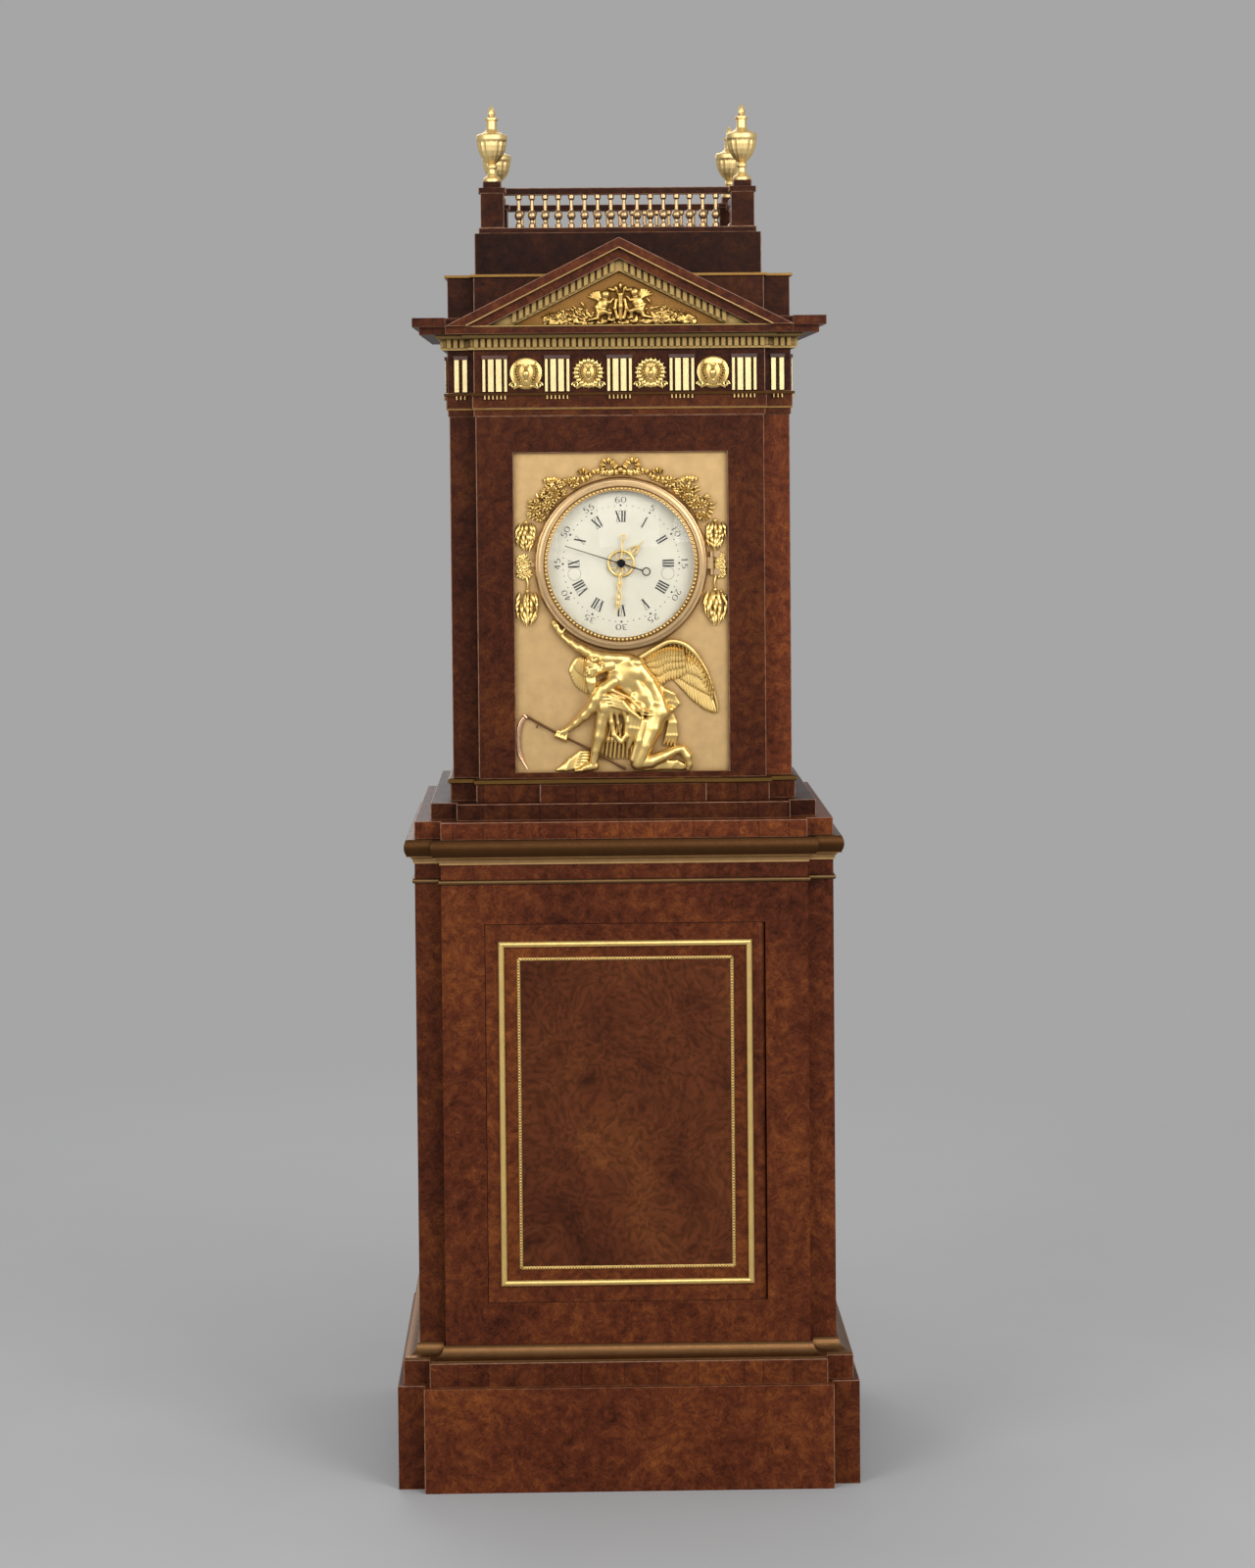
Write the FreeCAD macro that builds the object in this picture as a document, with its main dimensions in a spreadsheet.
import FreeCAD, Part
import Sketcher
import math
import os

# Longcase clock in burl-veneered wood with gilt and brass mounts.
# Millimetres. The origin is on the floor under the middle of the case, the front faces -Y, +Z is up.
# Every course of the case is flush at the back, and its front stands back as far as its sides do.

os.makedirs("parts", exist_ok=True)
doc = FreeCAD.newDocument("longcase_clock")
sheet = doc.addObject("Spreadsheet::Sheet", "sizes")


# Sizes

class Dim:
    """A length that keeps its number and the spreadsheet expression that it comes from."""

    def __init__(self, value, text):
        self.value = float(value)
        self.text = text

    def __add__(self, other):
        other = as_dim(other)
        return Dim(self.value + other.value, f"({self.text} + {other.text})")

    def __sub__(self, other):
        other = as_dim(other)
        return Dim(self.value - other.value, f"({self.text} - {other.text})")

    def __mul__(self, other):
        other = as_dim(other)
        return Dim(self.value * other.value, f"{self.text} * {other.text}")

    def __truediv__(self, other):
        other = as_dim(other)
        return Dim(self.value / other.value, f"{self.text} / {other.text}")

    def __radd__(self, other):
        return as_dim(other) + self

    def __rsub__(self, other):
        return as_dim(other) - self

    def __rmul__(self, other):
        return as_dim(other) * self

    def __neg__(self):
        return Dim(-self.value, f"(0 - {self.text})")

    def __float__(self):
        return self.value


def as_dim(number):
    """A Dim as it is, and a plain number as a Dim of that number."""
    if isinstance(number, Dim):
        return number
    return Dim(number, f"({number!r})")


def size(alias, number):
    """Write one driving dimension into the sheet and return it."""
    size.row += 1
    cell = f"A{size.row}"
    sheet.set(cell, str(number))
    sheet.setAlias(cell, alias)
    return Dim(number, f"sizes.{alias}")


size.row = 0

# Case: half widths, heights and the plan they share
case_depth = size("case_depth", 550)
corner_strip = size("corner_strip", 37)
corner_setback = size("corner_setback", 22)
board = size("board", 28)
back_thickness = size("back_thickness", 18)
back_half = size("back_half", 225)
back_clearance = size("back_clearance", 0.5)
plinth_half = size("plinth_half", 320)
plinth_height = size("plinth_height", 145)
plinth_floor = size("plinth_floor", 18)
course_half = size("course_half", 312)
course_height = size("course_height", 34)
cove_height = size("cove_height", 20)
cove_reach = size("cove_reach", 20)
cove_lip = size("cove_lip", 3)
trunk_half = size("trunk_half", 290)
trunk_height = size("trunk_height", 722)
trunk_front_wall = size("trunk_front_wall", 42)
astragal_rise = size("astragal_rise", 660)
astragal_height = size("astragal_height", 7)
trunk_crown_height = size("trunk_crown_height", 34)
cavetto_height = size("cavetto_height", 10)
cavetto_reach = size("cavetto_reach", 9)
ovolo_reach = size("ovolo_reach", 11)
moulding_fillet = size("moulding_fillet", 2)
side_panel_rise = size("side_panel_rise", 84)
side_panel_height = size("side_panel_height", 500)
side_panel_depth = size("side_panel_depth", 340)
side_panel_proud = size("side_panel_proud", 3)
lower_step_height = size("lower_step_height", 24)
upper_step_half = size("upper_step_half", 268)
upper_step_height = size("upper_step_height", 23)
hood_plinth_half = size("hood_plinth_half", 241)
hood_plinth_height = size("hood_plinth_height", 32)
hood_block_half = size("hood_block_half", 115.5)
hood_block_proud = size("hood_block_proud", 10)
bead_height = size("bead_height", 8)
bead_reach = size("bead_reach", 3)
hood_half = size("hood_half", 237)
hood_height = size("hood_height", 504)
hood_front_wall = size("hood_front_wall", 30)

# Trunk door
door_half = size("door_half", 193)
door_height = size("door_height", 525)
door_rise = size("door_rise", 79)
door_thickness = size("door_thickness", 16)
door_clearance = size("door_clearance", 1)
door_stop = size("door_stop", 12)
pivot_radius = size("pivot_radius", 3)
pivot_reach = size("pivot_reach", 14)
pivot_clearance = size("pivot_clearance", 0.05)
end_clearance = size("end_clearance", 0.5)
frame_half = size("frame_half", 175.5)
frame_height = size("frame_height", 480)
frame_width = size("frame_width", 8.5)
frame_proud = size("frame_proud", 5)
beading_half = size("beading_half", 150.5)
beading_height = size("beading_height", 436)
beading_width = size("beading_width", 6.5)
beading_proud = size("beading_proud", 3.5)

# Entablature, pediment and attic
fascia_low_half = size("fascia_low_half", 239)
fascia_low_height = size("fascia_low_height", 11)
fascia_high_half = size("fascia_high_half", 241)
fascia_high_height = size("fascia_high_height", 21)
taenia_height = size("taenia_height", 3.5)
taenia_reach = size("taenia_reach", 3)
frieze_half = size("frieze_half", 239)
frieze_height = size("frieze_height", 81)
triglyph_pitch = size("triglyph_pitch", 86.4)
triglyph_half = size("triglyph_half", 16.85)
triglyph_height = size("triglyph_height", 50)
triglyph_rise = size("triglyph_rise", 2)
triglyph_plate = size("triglyph_plate", 2)
triglyph_bar = size("triglyph_bar", 2)
triglyph_cap = size("triglyph_cap", 5)
triglyph_overhang = size("triglyph_overhang", 1.2)
gutta_height = size("gutta_height", 5)
gutta_radius = size("gutta_radius", 1.9)
medallion_radius = size("medallion_radius", 22.3)
medallion_proud = size("medallion_proud", 5)
bed_height = size("bed_height", 21)
bed_reach_low = size("bed_reach_low", 7)
bed_reach_high = size("bed_reach_high", 16)
bed_groove = size("bed_groove", 4)
bed_lip_low = size("bed_lip_low", 3)
bed_lip_high = size("bed_lip_high", 6)
dentil_pitch = size("dentil_pitch", 9)
dentil_width = size("dentil_width", 5.5)
dentil_reach = size("dentil_reach", 9.5)
corona_half = size("corona_half", 276.5)
corona_height = size("corona_height", 10.5)
crown_half = size("crown_half", 286)
crown_height = size("crown_height", 12.5)
pediment_half = size("pediment_half", 240)
pediment_height = size("pediment_height", 120.5)
rake_crown = size("rake_crown", 13.7)
rake_corona = size("rake_corona", 15)
rake_dentils = size("rake_dentils", 16.7)
rake_dentil_proud = size("rake_dentil_proud", 14)
tympanum_thickness = size("tympanum_thickness", 12)
attic_half = size("attic_half", 238)
attic_height = size("attic_height", 60)
attic_board = size("attic_board", 15)
attic_edge = size("attic_edge", 4.5)
attic_edge_reach = size("attic_edge_reach", 4)
block_half = size("block_half", 200)
block_height = size("block_height", 59)
gallery_half = size("gallery_half", 194)
gallery_base = size("gallery_base", 8)
gallery_height = size("gallery_height", 46)
gallery_rail = size("gallery_rail", 10)
gallery_rail_half = size("gallery_rail_half", 6)
pedestal_place = size("pedestal_place", 175)
pedestal_half = size("pedestal_half", 16.25)
pedestal_cap_half = size("pedestal_cap_half", 19)
pedestal_cap_height = size("pedestal_cap_height", 7)
finial_block_half = size("finial_block_half", 13)
finial_block_height = size("finial_block_height", 9)
baluster_pitch = size("baluster_pitch", 18.4)
baluster_radius = size("baluster_radius", 6)
baluster_neck = size("baluster_neck", 2.6)
finial_radius = size("finial_radius", 22)
finial_height = size("finial_height", 107)

# Dial panel, bezel and dial
panel_lip = size("panel_lip", 8)
panel_thickness = size("panel_thickness", 3)
panel_half = size("panel_half", 148.5)
panel_margin = size("panel_margin", 7)
panel_rise = size("panel_rise", 8)
panel_height = size("panel_height", 445)
dial_height = size("dial_height", 1278)
dial_radius = size("dial_radius", 108)
dial_window = size("dial_window", 103)
dial_thickness = size("dial_thickness", 2.5)
dial_bore = size("dial_bore", 5)
winding_place = size("winding_place", 65)
winding_drop = size("winding_drop", 14)
shutter_radius = size("shutter_radius", 8.6)
shutter_proud = size("shutter_proud", 0.6)
bezel_radius = size("bezel_radius", 121)
bezel_sight = size("bezel_sight", 102)
bezel_depth = size("bezel_depth", 14)
bezel_gap = size("bezel_gap", 0.3)
glass_seat = size("glass_seat", 2)
glass_thickness = size("glass_thickness", 2)
glass_edge = size("glass_edge", 10)
glass_dome = size("glass_dome", 12)
knuckle_radius = size("knuckle_radius", 3)
knuckle_length = size("knuckle_length", 16)
hinge_pin = size("hinge_pin", 1.2)
hinge_leaf = size("hinge_leaf", 12)
hinge_gap = size("hinge_gap", 0.4)

# Movement: plates, arbors and trains
plate_gap = size("plate_gap", 57)
plate_thickness = size("plate_thickness", 3)
plate_half = size("plate_half", 112)
plate_above = size("plate_above", 56)
plate_below = size("plate_below", 76)
motion_gap = size("motion_gap", 21.5)
seat_thickness = size("seat_thickness", 22)
seat_depth = size("seat_depth", 100)
pillar_radius = size("pillar_radius", 5)
pillar_inset = size("pillar_inset", 10)
arbor_radius = size("arbor_radius", 1.5)
arbor_pivot = size("arbor_pivot", 1)
running_clearance = size("running_clearance", 0.05)
wheel_thickness = size("wheel_thickness", 2)
barrel_module = size("barrel_module", 0.8)
train_module = size("train_module", 0.7)
third_module = size("third_module", 0.75)
motion_module = size("motion_module", 0.8)
idler_stud = size("idler_stud", 0.9)
barrel_radius = size("barrel_radius", 34)
barrel_length = size("barrel_length", 30)
winding_radius = size("winding_radius", 4)
winding_square = size("winding_square", 5.4)
minute_right = size("minute_right", 20)
minute_drop = size("minute_drop", 36)
escape_radius = size("escape_radius", 22)
anchor_rise = size("anchor_rise", 34)
pallet_clearance = size("pallet_clearance", 2.5)
centre_tube = size("centre_tube", 1.8)
cannon_radius = size("cannon_radius", 2.8)
hour_pipe = size("hour_pipe", 4)
hand_thickness = size("hand_thickness", 1.2)
hand_space = size("hand_space", 1.4)
hour_ring = size("hour_ring", 20)
hour_ring_width = size("hour_ring_width", 4)
hour_leaf_half = size("hour_leaf_half", 5)
hour_stem_half = size("hour_stem_half", 1.5)
hour_length = size("hour_length", 46)
minute_leaf_half = size("minute_leaf_half", 4)
minute_stem_half = size("minute_stem_half", 1.2)
minute_length = size("minute_length", 71)
minute_tail = size("minute_tail", 41)
seconds_length = size("seconds_length", 81)
seconds_tail = size("seconds_tail", 36.6)
seconds_ring = size("seconds_ring", 6)
seconds_ring_width = size("seconds_ring_width", 1.6)
seconds_half = size("seconds_half", 0.9)
hub_radius = size("hub_radius", 6)
pendulum_length = size("pendulum_length", 994)
pendulum_setback = size("pendulum_setback", 45)
rod_radius = size("rod_radius", 4)
bob_radius = size("bob_radius", 75)
bob_thickness = size("bob_thickness", 28)
rating_nut = size("rating_nut", 12)
crutch_length = size("crutch_length", 80)
crutch_half = size("crutch_half", 2)
anchor_arm = size("anchor_arm", 4)
strip_thickness = size("strip_thickness", 0.5)
strip_width = size("strip_width", 7)
strip_length = size("strip_length", 10)
cock_gap = size("cock_gap", 11)
cock_half = size("cock_half", 20)
cock_leg = size("cock_leg", 6)
cock_below = size("cock_below", 10)
cock_above = size("cock_above", 14)
cock_arm_half = size("cock_arm_half", 5)
bell_radius = size("bell_radius", 42)
bell_wall = size("bell_wall", 2.5)
bell_rise = size("bell_rise", 66)
bell_place = size("bell_place", 60)
bell_post = size("bell_post", 3)
bell_foot_half = size("bell_foot_half", 6)
bell_foot_height = size("bell_foot_height", 20)
bell_nut = size("bell_nut", 4)
hammer_place = size("hammer_place", 84)
hammer_rise = size("hammer_rise", 40)
hammer_gap = size("hammer_gap", 0.8)
hammer_head_radius = size("hammer_head_radius", 5)
hammer_head_length = size("hammer_head_length", 16)
hammer_head_rise = size("hammer_head_rise", 2)
hammer_arm_half = size("hammer_arm_half", 2)

doc.recompute()

# Places that several pieces share
back = case_depth / 2
rebate = back - back_thickness
slot_half = back_half + back_clearance
course_z = plinth_height
trunk_z = course_z + course_height
lower_step_z = trunk_z + trunk_height
upper_step_z = lower_step_z + lower_step_height
hood_plinth_z = upper_step_z + upper_step_height
hood_z = hood_plinth_z + hood_plinth_height
architrave_z = hood_z + hood_height
frieze_z = architrave_z + fascia_low_height + fascia_high_height
bed_z = frieze_z + frieze_height - bed_height
corona_z = frieze_z + frieze_height
crown_z = corona_z + corona_height
attic_z = crown_z + crown_height
block_z = attic_z + attic_height
gallery_z = block_z + block_height
baluster_z = gallery_z + gallery_base
rail_z = baluster_z + gallery_height


def front(half):
    """The front of a course: it stands back from the plinth's front as far as its side does."""
    return plinth_half - half - back


shaft_half = hood_half - board
shaft_front = front(hood_half) + hood_front_wall
trunk_inner_half = trunk_half - board
trunk_inner_front = front(trunk_half) + trunk_front_wall
panel_y = front(hood_half) + panel_lip
dial_y = panel_y + panel_thickness
movement_y = dial_y + dial_thickness + motion_gap + plate_thickness + plate_gap
gallery_y = front(block_half) + block_half


# Making pieces

pieces = []


def keep(thing, label):
    """Name a finished piece, so that it is checked and written."""
    thing.Label = label
    pieces.append(thing)
    return thing


def bind(thing, prop, dim):
    """Tie a property to the sheet."""
    thing.setExpression(prop, as_dim(dim).text)


def seat(thing, x, y, z):
    """Tie a piece's place to the sheet."""
    bind(thing, "Placement.Base.x", x)
    bind(thing, "Placement.Base.y", y)
    bind(thing, "Placement.Base.z", z)


def pin_point(sketch, edge, end, x, y):
    """Hold one end of a sketched edge at a place from the sheet."""
    for kind, dim in (("DistanceX", as_dim(x)), ("DistanceY", as_dim(y))):
        held = sketch.addConstraint(Sketcher.Constraint(kind, -1, 1, edge, end, dim.value))
        bind(sketch, f"Constraints[{held}]", dim)


def arc_edge(start, finish, bulge):
    """An arc between two points, whose bulge is its height over half its chord, left side positive."""
    chord = finish - start
    half = chord.Length / 2
    radius = half * (1 + bulge * bulge) / (2 * abs(bulge))
    left = FreeCAD.Vector(-chord.y, chord.x, 0).normalize()
    height = half * (1 - bulge * bulge) / (2 * bulge)
    centre = (start + finish) * 0.5 - left * height
    circle = Part.Circle(centre, FreeCAD.Vector(0, 0, 1), radius)
    angles = [math.atan2(p.y - centre.y, p.x - centre.x) for p in (start, finish)]
    first, last = angles if bulge < 0 else angles[::-1]
    if last < first:
        last += 2 * math.pi
    return Part.ArcOfCircle(circle, first, last)


def draw(sketch, points, closed=True):
    """Draw lines and arcs through points (x, y) or (x, y, bulge of the edge that follows).

    A bulge of 1 is a half circle, on an upright chord.
    """
    base = sketch.GeometryCount
    count = len(points)
    edges = count if closed else count - 1
    starts = []
    ends = []
    for i in range(edges):
        this = points[i]
        after = points[(i + 1) % count]
        start = FreeCAD.Vector(float(this[0]), float(this[1]), 0)
        finish = FreeCAD.Vector(float(after[0]), float(after[1]), 0)
        bulge = this[2] if len(this) > 2 else 0
        if bulge:
            sketch.addGeometry(arc_edge(start, finish, bulge), False)
        else:
            sketch.addGeometry(Part.LineSegment(start, finish), False)
        starts.append(2 if bulge > 0 else 1)
        ends.append(1 if bulge > 0 else 2)
    for i in range(edges if closed else edges - 1):
        after = (i + 1) % edges
        joined = Sketcher.Constraint("Coincident", base + i, ends[i], base + after, starts[after])
        sketch.addConstraint(joined)
    for i in range(edges):
        pin_point(sketch, base + i, starts[i], points[i][0], points[i][1])
    if not closed:
        pin_point(sketch, base + edges - 1, ends[-1], points[-1][0], points[-1][1])
    for i in range(edges):
        bulge = points[i][2] if len(points[i]) > 2 else 0
        if abs(bulge) == 1:
            middle = as_dim(points[i][0])
            held = sketch.addConstraint(Sketcher.Constraint("DistanceX", -1, 1, base + i, 3, middle.value))
            bind(sketch, f"Constraints[{held}]", middle)
        elif bulge:
            run = as_dim(points[(i + 1) % count][0]) - points[i][0]
            rise = as_dim(points[(i + 1) % count][1]) - points[i][1]
            factor = (1 + bulge * bulge) / (4 * abs(bulge))
            radius = math.hypot(run.value, rise.value) * factor
            held = sketch.addConstraint(Sketcher.Constraint("Radius", base + i, radius))
            chord = f"sqrt({run.text} ^ 2 + {rise.text} ^ 2)"
            sketch.setExpression(f"Constraints[{held}]", f"{chord} * {factor!r}")


def dome_bulge(rise, reach):
    """The bulge of an arc that runs from the top of a round dome to its rim."""
    return math.tan(math.atan(rise.value / reach.value) / 2)


def draw_circle(sketch, x, y, radius):
    """Draw a circle at a place from the sheet."""
    centre = FreeCAD.Vector(float(x), float(y), 0)
    edge = sketch.addGeometry(Part.Circle(centre, FreeCAD.Vector(0, 0, 1), float(radius)), False)
    pin_point(sketch, edge, 3, x, y)
    held = sketch.addConstraint(Sketcher.Constraint("Radius", edge, float(radius)))
    bind(sketch, f"Constraints[{held}]", radius)


def new_body(name):
    return doc.addObject("PartDesign::Body", f"{name}_body")


def sketch_on(body, role, offset=0):
    """A sketch on one of the body's own planes, or at an offset along its normal."""
    sketch = body.newObject("Sketcher::SketchObject", f"{body.Name}_sketch")
    plane = next(feature for feature in body.Origin.OriginFeatures if feature.Role == role)
    sketch.AttachmentSupport = (plane, [""])
    sketch.MapMode = "FlatFace"
    bind(sketch, "AttachmentOffset.Base.z", offset)
    return sketch


def pad(body, sketch, length):
    feature = body.newObject("PartDesign::Pad", f"{body.Name}_pad")
    feature.Profile = sketch
    bind(feature, "Length", length)
    return feature


def pocket(body, sketch, length):
    """Cut along the sketch's own normal."""
    feature = body.newObject("PartDesign::Pocket", f"{body.Name}_pocket")
    feature.Profile = sketch
    feature.Reversed = True
    bind(feature, "Length", length)
    return feature


def revolve(body, sketch):
    feature = body.newObject("PartDesign::Revolution", f"{body.Name}_turning")
    feature.Profile = sketch
    feature.ReferenceAxis = (sketch, ["V_Axis"])
    feature.Angle = 360
    return feature


def rectangle(x_half, y_low, y_high):
    return [(-x_half, y_low), (x_half, y_low), (x_half, y_high), (-x_half, y_high)]


def breakfront(half):
    """Plan of a course from its left back corner round the front: the centre stands forward."""
    centre = half - corner_strip
    corner = front(half) + corner_setback
    left = [(-half, back), (-half, corner), (-centre, corner), (-centre, front(half))]
    return left + [(-x, y) for x, y in reversed(left)]


def hollow_plan(half, inner_half, inner_front):
    """A course round the hollow of the case, open at the back for the backboard."""
    inner = [(slot_half, back), (slot_half, rebate), (inner_half, rebate), (inner_half, inner_front)]
    return breakfront(half) + inner + [(-x, y) for x, y in reversed(inner)]


def course(name, plan, z, height, hollow=None):
    """A body raised from a plan, with a hollow through it where one is given."""
    body = new_body(name)
    sketch = sketch_on(body, "XY_Plane")
    draw(sketch, plan)
    if hollow:
        draw(sketch, hollow)
    pad(body, sketch, height)
    seat(body, 0, 0, z)
    return body


def block(name, x, y, z):
    """A box between pairs of places."""
    box = doc.addObject("Part::Box", name)
    for prop, pair in (("Length", x), ("Width", y), ("Height", z)):
        bind(box, prop, as_dim(pair[1]) - pair[0])
    seat(box, x[0], y[0], z[0])
    return box


def rod(name, radius, x, y, z):
    """An upright round bar between two heights."""
    bar = doc.addObject("Part::Cylinder", name)
    bind(bar, "Radius", radius)
    bind(bar, "Height", as_dim(z[1]) - z[0])
    seat(bar, x, y, z[0])
    return bar


def join(name, parts):
    whole = doc.addObject("Part::MultiFuse", name)
    whole.Shapes = parts
    return whole


def group(name, parts):
    whole = doc.addObject("Part::Compound", name)
    whole.Links = parts
    return whole


def cut(name, base, tool):
    whole = doc.addObject("Part::Cut", name)
    whole.Base = base
    whole.Tool = tool
    return whole


def moulding(name, half, z, profile):
    """A profile (reach, height) run round the front and sides of a course."""
    path = doc.addObject("Sketcher::SketchObject", f"{name}_path")
    draw(path, breakfront(half), closed=False)
    seat(path, 0, 0, z)
    section = doc.addObject("Sketcher::SketchObject", f"{name}_section")
    draw(section, profile)
    outward = FreeCAD.Vector(-1, 0, 0)
    upward = FreeCAD.Vector(0, 0, 1)
    section.Placement.Rotation = FreeCAD.Rotation(outward, upward, FreeCAD.Vector(0, 1, 0), "XYZ")
    seat(section, -half, back, z)
    return sweep(name, section, path)


def sweep(name, section, path):
    doc.recompute()
    run = doc.addObject("Part::Sweep", name)
    run.Sections = [section]
    run.Spine = (path, [f"Edge{i + 1}" for i in range(len(path.Shape.Edges))])
    run.Solid = True
    run.Transition = "Right corner"
    return run


def picture_frame(name, half, low, high, y, width, proud):
    """A mitred half-round frame on an upright face, inside a rectangle."""
    path = doc.addObject("Sketcher::SketchObject", f"{name}_path")
    draw(path, [(0, low), (half, low), (half, high), (-half, high), (-half, low)])
    path.Placement.Rotation = FreeCAD.Rotation(FreeCAD.Vector(1, 0, 0), 90)
    seat(path, 0, y, 0)
    section = doc.addObject("Sketcher::SketchObject", f"{name}_section")
    rounding = -proud.value / width.value
    draw(section, [(0, 0), (width, 0), (width, proud / 2, rounding), (0, proud / 2)])
    inward = FreeCAD.Vector(0, 0, 1)
    forward = FreeCAD.Vector(0, -1, 0)
    section.Placement.Rotation = FreeCAD.Rotation(inward, forward, FreeCAD.Vector(1, 0, 0), "XYZ")
    seat(section, 0, y, low)
    return sweep(name, section, path)


def upright(name, outline, y, thickness, holes=()):
    """A flat piece drawn in the upright plane, whose back lies at y and which stands forward."""
    body = new_body(name)
    sketch = sketch_on(body, "XZ_Plane")
    draw(sketch, outline)
    for x, z, radius in holes:
        draw_circle(sketch, x, z, radius)
    pad(body, sketch, thickness)
    seat(body, 0, y, 0)
    return body


def turned(name, profile):
    """A piece turned about an upright axis from a profile (radius, height)."""
    body = new_body(name)
    sketch = sketch_on(body, "XZ_Plane")
    draw(sketch, profile)
    revolve(body, sketch)
    return body


FACING = FreeCAD.Rotation(FreeCAD.Vector(1, 0, 0), 90)


def face_forward(thing, x, y, z):
    """Turn a piece's own +Z to the viewer, and its own +Y up."""
    thing.Placement.Rotation = FACING
    seat(thing, x, y, z)
    return thing


def solid_piece(name, shape, placement=None):
    """A piece whose shape is worked out in code from the sheet's sizes."""
    feature = doc.addObject("Part::Feature", name)
    feature.Shape = shape
    if placement:
        feature.Placement = placement
    return feature


# Case

plinth = new_body("plinth")
plinth_base = sketch_on(plinth, "XY_Plane")
draw(plinth_base, breakfront(plinth_half))
pad(plinth, plinth_base, plinth_floor)
plinth_walls = sketch_on(plinth, "XY_Plane")
draw(plinth_walls, breakfront(plinth_half))
plinth_inner = plinth_half - corner_strip
draw(plinth_walls, rectangle(plinth_inner, front(plinth_half) + corner_setback + board, back - board))
pad(plinth, plinth_walls, plinth_height)
keep(plinth, "plinth")

course_hollow = rectangle(trunk_inner_half, trunk_inner_front, rebate)
course_ring = course("plinth_course", breakfront(course_half), course_z, course_height, course_hollow)
keep(course_ring, "plinth_course")

cove_profile = [
    (0, 0),
    (cove_reach, 0),
    (cove_reach, cove_lip, 0.35),
    (cove_lip, cove_height - cove_lip),
    (cove_lip, cove_height),
    (0, cove_height),
]
keep(moulding("base_cove", trunk_half, trunk_z, cove_profile), "base_cove")

door_z = trunk_z + door_rise
door_top = door_z + door_height
door_front = front(trunk_half)
trunk_plan = hollow_plan(trunk_half, trunk_inner_half, trunk_inner_front)
trunk_shell = course("trunk_shell", trunk_plan, trunk_z, trunk_height)
door_way = block(
    "door_way",
    (door_stop - door_half, door_half - door_stop),
    (door_front, trunk_inner_front),
    (door_z + door_stop, door_top - door_stop),
)
door_recess = block(
    "door_recess",
    (-door_half - door_clearance, door_half + door_clearance),
    (door_front, door_front + door_thickness + bezel_gap),
    (door_z - door_clearance, door_top + door_clearance),
)
pivot_x = door_half - door_thickness / 2
pivot_y = door_front + door_thickness / 2


def pivot_pair(name):
    """A pin through each end of the door into the case."""
    low = (door_z - pivot_reach, door_z + pivot_reach)
    high = (door_top - pivot_reach, door_top + pivot_reach)
    return [rod(f"{name}_{i}", pivot_radius, pivot_x, pivot_y, z) for i, z in enumerate((low, high))]


trunk_cuts = join("trunk_cuts", [door_way, door_recess] + pivot_pair("pivot_seat"))
keep(cut("trunk_carcass", trunk_shell, trunk_cuts), "trunk_carcass")
keep(group("door_pivots", pivot_pair("pivot")), "door_pivots")

keep(block("backboard", (-back_half, back_half), (rebate, back), (trunk_z, corona_z)), "backboard")

panel_low = trunk_z + side_panel_rise
panel_mid = (front(trunk_half) + corner_setback + back) / 2
panel_span = (panel_mid - side_panel_depth / 2, panel_mid + side_panel_depth / 2)
panel_rises = (panel_low, panel_low + side_panel_height)
side_panels = [
    block("side_panel_left", (-trunk_half - side_panel_proud, -trunk_half), panel_span, panel_rises),
    block("side_panel_right", (trunk_half, trunk_half + side_panel_proud), panel_span, panel_rises),
]
keep(group("side_panels", side_panels), "side_panels")

astragal = moulding("astragal", trunk_half, trunk_z + astragal_rise, [(0, 0), (0, astragal_height, 1.0)])
crown_fillet = cavetto_height + moulding_fillet
trunk_crown_profile = [
    (0, 0),
    (moulding_fillet, 0, 0.4),
    (cavetto_reach, cavetto_height),
    (ovolo_reach, cavetto_height),
    (ovolo_reach, crown_fillet, -0.3),
    (ovolo_reach, trunk_crown_height),
    (0, trunk_crown_height),
]
trunk_crown = moulding("trunk_crown", trunk_half, lower_step_z - trunk_crown_height, trunk_crown_profile)
keep(group("trunk_mouldings", [astragal, trunk_crown]), "trunk_mouldings")

lower_step_plan = hollow_plan(trunk_half, shaft_half, shaft_front)
keep(course("lower_step", lower_step_plan, lower_step_z, lower_step_height), "lower_step")
upper_step_plan = hollow_plan(upper_step_half, shaft_half, shaft_front)
keep(course("upper_step", upper_step_plan, upper_step_z, upper_step_height), "upper_step")

hood_plinth_plan = hollow_plan(hood_plinth_half, shaft_half, shaft_front)
hood_plinth_ring = course("hood_plinth_ring", hood_plinth_plan, hood_plinth_z, hood_plinth_height)
hood_plinth_block = block(
    "hood_plinth_block",
    (-hood_block_half, hood_block_half),
    (front(hood_plinth_half) - hood_block_proud, front(hood_plinth_half)),
    (hood_plinth_z, hood_z - bead_height),
)
keep(join("hood_plinth", [hood_plinth_ring, hood_plinth_block]), "hood_plinth")

hood_shell = course("hood_shell", hollow_plan(hood_half, shaft_half, shaft_front), hood_z, hood_height)
panel_z = hood_z + panel_rise
panel_top = panel_z + panel_height
panel_window = block(
    "panel_window", (-panel_half, panel_half), (front(hood_half), panel_y), (panel_z, panel_top))
panel_bed = block(
    "panel_bed",
    (-panel_half - panel_margin, panel_half + panel_margin),
    (panel_y, shaft_front),
    (panel_z - panel_margin, panel_top + panel_margin),
)
keep(cut("hood_carcass", hood_shell, join("hood_cuts", [panel_window, panel_bed])), "hood_carcass")

# Entablature

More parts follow.
